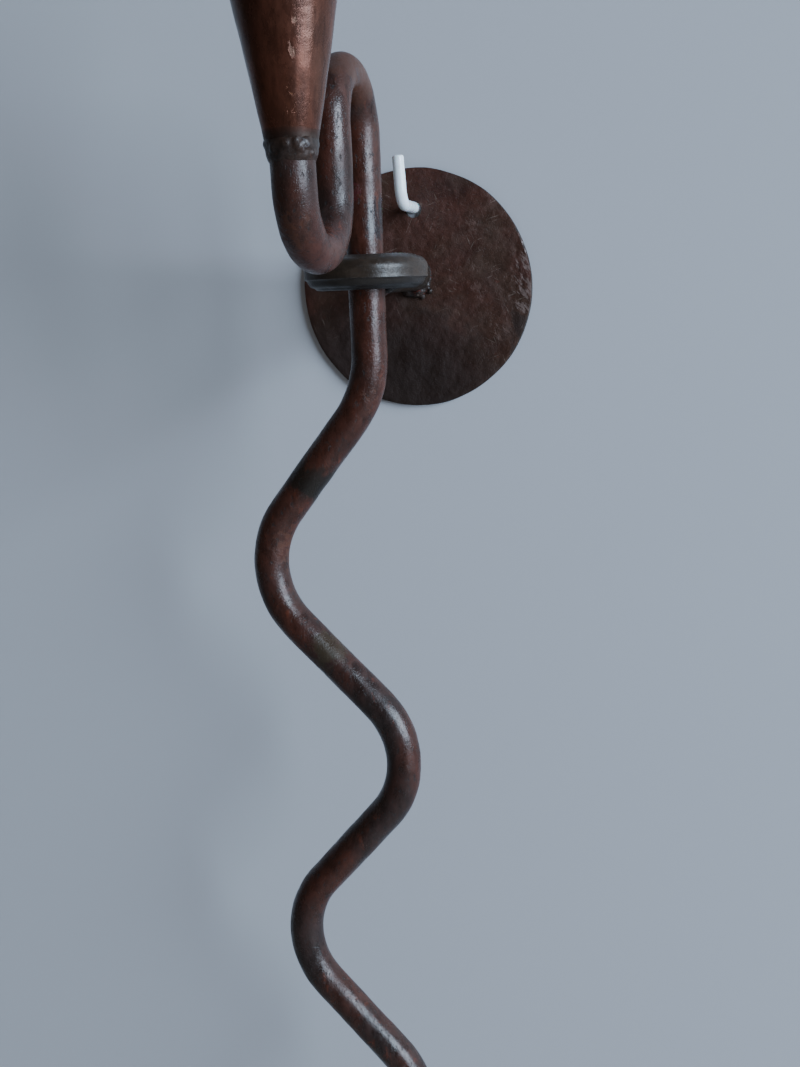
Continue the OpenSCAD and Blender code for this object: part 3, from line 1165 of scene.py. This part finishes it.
# The plate's cut edge: dark, dry and rough
EDGE_IRON = iron(
    "edge_iron",
    ground=rgb(0.014, 0.0085, 0.0068),
    grey=rgb(0.016, 0.012, 0.010),
    rust=rgb(0.040, 0.018, 0.012),
    shares=(0.4, 0.2, 0.3),
    zone_scale=60,
    gloss=(0.55, 0.8),
    metal=0.0,
    wax=(0.0, 0.4),
    skin=(1.5, 1.5),
    edges=0.1,
)

# The cone's inside: dull and sooted
CONE_SOOT = iron(
    "cone_soot",
    ground=rgb(0.040, 0.022, 0.016),
    grey=rgb(0.020, 0.018, 0.017),
    rust=rgb(0.060, 0.030, 0.020),
    shares=(0.6, 0.5, 0.3),
    zone_scale=44,
    gloss=(0.5, 0.75),
    metal=0.15,
    wax=(0.05, 0.4),
    skin=(1.2, 1.2),
)


def hook_white():
    """Dipped white plastic: glossy, faintly uneven, with a little grey grime."""
    material, board, shader, where = new_material("hook_white")
    grime = board.between(board.noise(where, 240, 5.0, 0.65), 0.5, 0.72)
    colour = board.mix(board.times(grime, 0.35), rgb(0.74, 0.80, 0.86), rgb(0.48, 0.5, 0.5))
    rough = board.between(board.noise(where, 520, 3.0), 0.3, 0.7, 0.22, 0.34)
    board.feed_all(shader, Base_Color=colour, Roughness=rough, Metallic=0.0, Specular_IOR_Level=0.5)
    board.feed_all(shader, Subsurface_Weight=0.15, Subsurface_Scale=1.5 * MM)
    add_bump(board, shader, board.noise(where, 300, 2.0), 0.05 * MM)
    return material


def screw_zinc():
    """Zinc-plated steel: bright, with dull and yellowed patches."""
    material, board, shader, where = new_material("screw_zinc")
    dull = board.between(board.noise(where, 380, 5.0, 0.6), 0.42, 0.66)
    colour = board.mix(dull, rgb(0.62, 0.62, 0.6), rgb(0.42, 0.39, 0.33))
    rough = board.between(dull, 0.0, 1.0, 0.26, 0.45)
    board.feed_all(shader, Base_Color=colour, Roughness=rough, Metallic=1.0)
    add_bump(board, shader, board.noise(where, 1500, 3.0), 0.02 * MM)
    return material


def dress(piece, body, slot, node_name, *materials):
    """Gives a piece its materials, and puts it in the place of its node."""
    piece.data.materials.clear()
    for material in materials:
        piece.data.materials.append(material)
    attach(piece, body)
    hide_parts(node_name)


BAR_IRON = bar_iron()
RING_IRON = ring_iron()
NECK_IRON = neck_iron()

cone_sheet = roll_cone()
plate_sheet = cut_plate()
dress(forge_stem(), "stem", "bar_metal", "stem", BAR_IRON)
dress(turn_pin(), "stem", "ring_metal", "rest_pin", RING_IRON)
dress(lay_collar(), "stem", "weld_metal", "neck_collar", NECK_IRON)
dress(cone_sheet, "stem", "cone_metal", "candle_cone", cone_iron(), CONE_SOOT)
dress(plate_sheet, "bracket", "plate_metal", "wall_plate", plate_iron(), EDGE_IRON)
dress(forge_arm(), "bracket", "ring_metal", "support_arm", RING_IRON)
dress(forge_ring(), "bracket", "ring_metal", "support_ring", RING_IRON)
dress(lay_arm_weld(), "bracket", "weld_metal", "arm_weld", WELD_IRON)
dress(lay_ring_weld(), "bracket", "weld_metal", "ring_weld", WELD_IRON)
dress(dip_hook(), "hook", "hook_coating", "hook_sleeve", hook_white())
dress(cut_thread(), "hook", "hook_steel", "hook_wire", screw_zinc())

for face in cone_sheet.data.polygons:
    towards_axis = Vector((-face.center.x, FRONT_Y - face.center.y, 0))
    if face.normal.dot(towards_axis) > 0:
        face.material_index = 1
for face in plate_sheet.data.polygons:
    if abs(face.normal.y) < 0.75:
        face.material_index = 1

# Stage: a pale floor, a pale backdrop close behind the wall plate, and soft light

FLOOR_Z = TAIL_Z - 600 * MM
STAGE_SIZE = 6
BACKDROP_Y = 0.6 * MM
LIGHT_DISTANCE = 3.2


def plain_paint(name, colour):
    material, board, shader, where = new_material(name)
    shade = board.between(board.noise(where, 3, 2.0), 0.2, 0.8)
    paler = rgb(*(1.03 * part for part in colour[:3]))
    shown = board.mix(shade, colour, paler)
    board.feed_all(shader, Base_Color=shown, Roughness=0.9, Specular_IOR_Level=0.2)
    return material, board, shader


def set_floor():
    middle_at = (0, BACKDROP_Y - STAGE_SIZE / 2, FLOOR_Z)
    floor = add(bpy.ops.mesh.primitive_plane_add, "floor", size=STAGE_SIZE, location=middle_at)
    material, _, _ = plain_paint("floor_paint", rgb(0.38, 0.35, 0.32))
    floor.data.materials.append(material)


def set_backdrop():
    """A pale sheet that is solid from the front, clear from behind, and lets all light pass."""
    backdrop = add(
        bpy.ops.mesh.primitive_plane_add, "backdrop", size=STAGE_SIZE,
        location=(0, BACKDROP_Y, FLOOR_Z + STAGE_SIZE / 2), rotation=(math.pi / 2, 0, 0),
    )
    material, board, shader = plain_paint("backdrop_paint", rgb(0.39, 0.398, 0.43))
    clear = board.put("BsdfTransparent").outputs[0]
    behind = board.put("NewGeometry").outputs["Backfacing"]
    shadow = board.put("LightPath").outputs["Is Shadow Ray"]
    pick = board.put("MixShader", {0: board.most(behind, shadow), 1: shader.outputs[0], 2: clear})
    board.feed(material.node_tree.nodes["Material Output"].inputs["Surface"], pick.outputs[0])
    backdrop.data.materials.append(material)


def add_light(name, towards, size, power, colour):
    """A soft light panel that lies this way from the ring and faces it."""
    aim = Vector((0, STEM_Y, RING_Z))
    data = bpy.data.lights.new(name, "AREA")
    data.shape = "RECTANGLE"
    data.size, data.size_y = size
    data.energy = power
    data.color = colour
    light = bpy.data.objects.new(name, data)
    way = Vector(towards).normalized()
    light.location = aim + way * LIGHT_DISTANCE
    light.rotation_euler = way.to_track_quat("Z", "Y").to_euler()
    bpy.context.scene.collection.objects.link(light)


def set_world():
    """Dim warm light from all round, in a room that looks plain and pale."""
    world = bpy.data.worlds.new("room")
    world.use_nodes = True
    board = Board(world.node_tree)
    dim = world.node_tree.nodes["Background"]
    board.feed_all(dim, Color=rgb(0.76, 0.70, 0.63), Strength=0.19)
    pale = board.put("Background", {"Color": rgb(0.60, 0.62, 0.65), "Strength": 0.8})
    seen = board.put("LightPath").outputs["Is Camera Ray"]
    pick = board.put("MixShader", {0: seen, 1: dim.outputs[0], 2: pale.outputs[0]})
    board.feed(world.node_tree.nodes["World Output"].inputs["Surface"], pick.outputs[0])
    bpy.context.scene.world = world


set_floor()
set_backdrop()
set_world()
add_light("window", (0.88, -0.46, 0.20), size=(2.1, 1.8), power=255, colour=(0.66, 0.82, 1.0))
add_light("back_fill", (0.78, 0.60, 0.20), size=(2.0, 2.0), power=90, colour=(0.90, 0.95, 1.0))
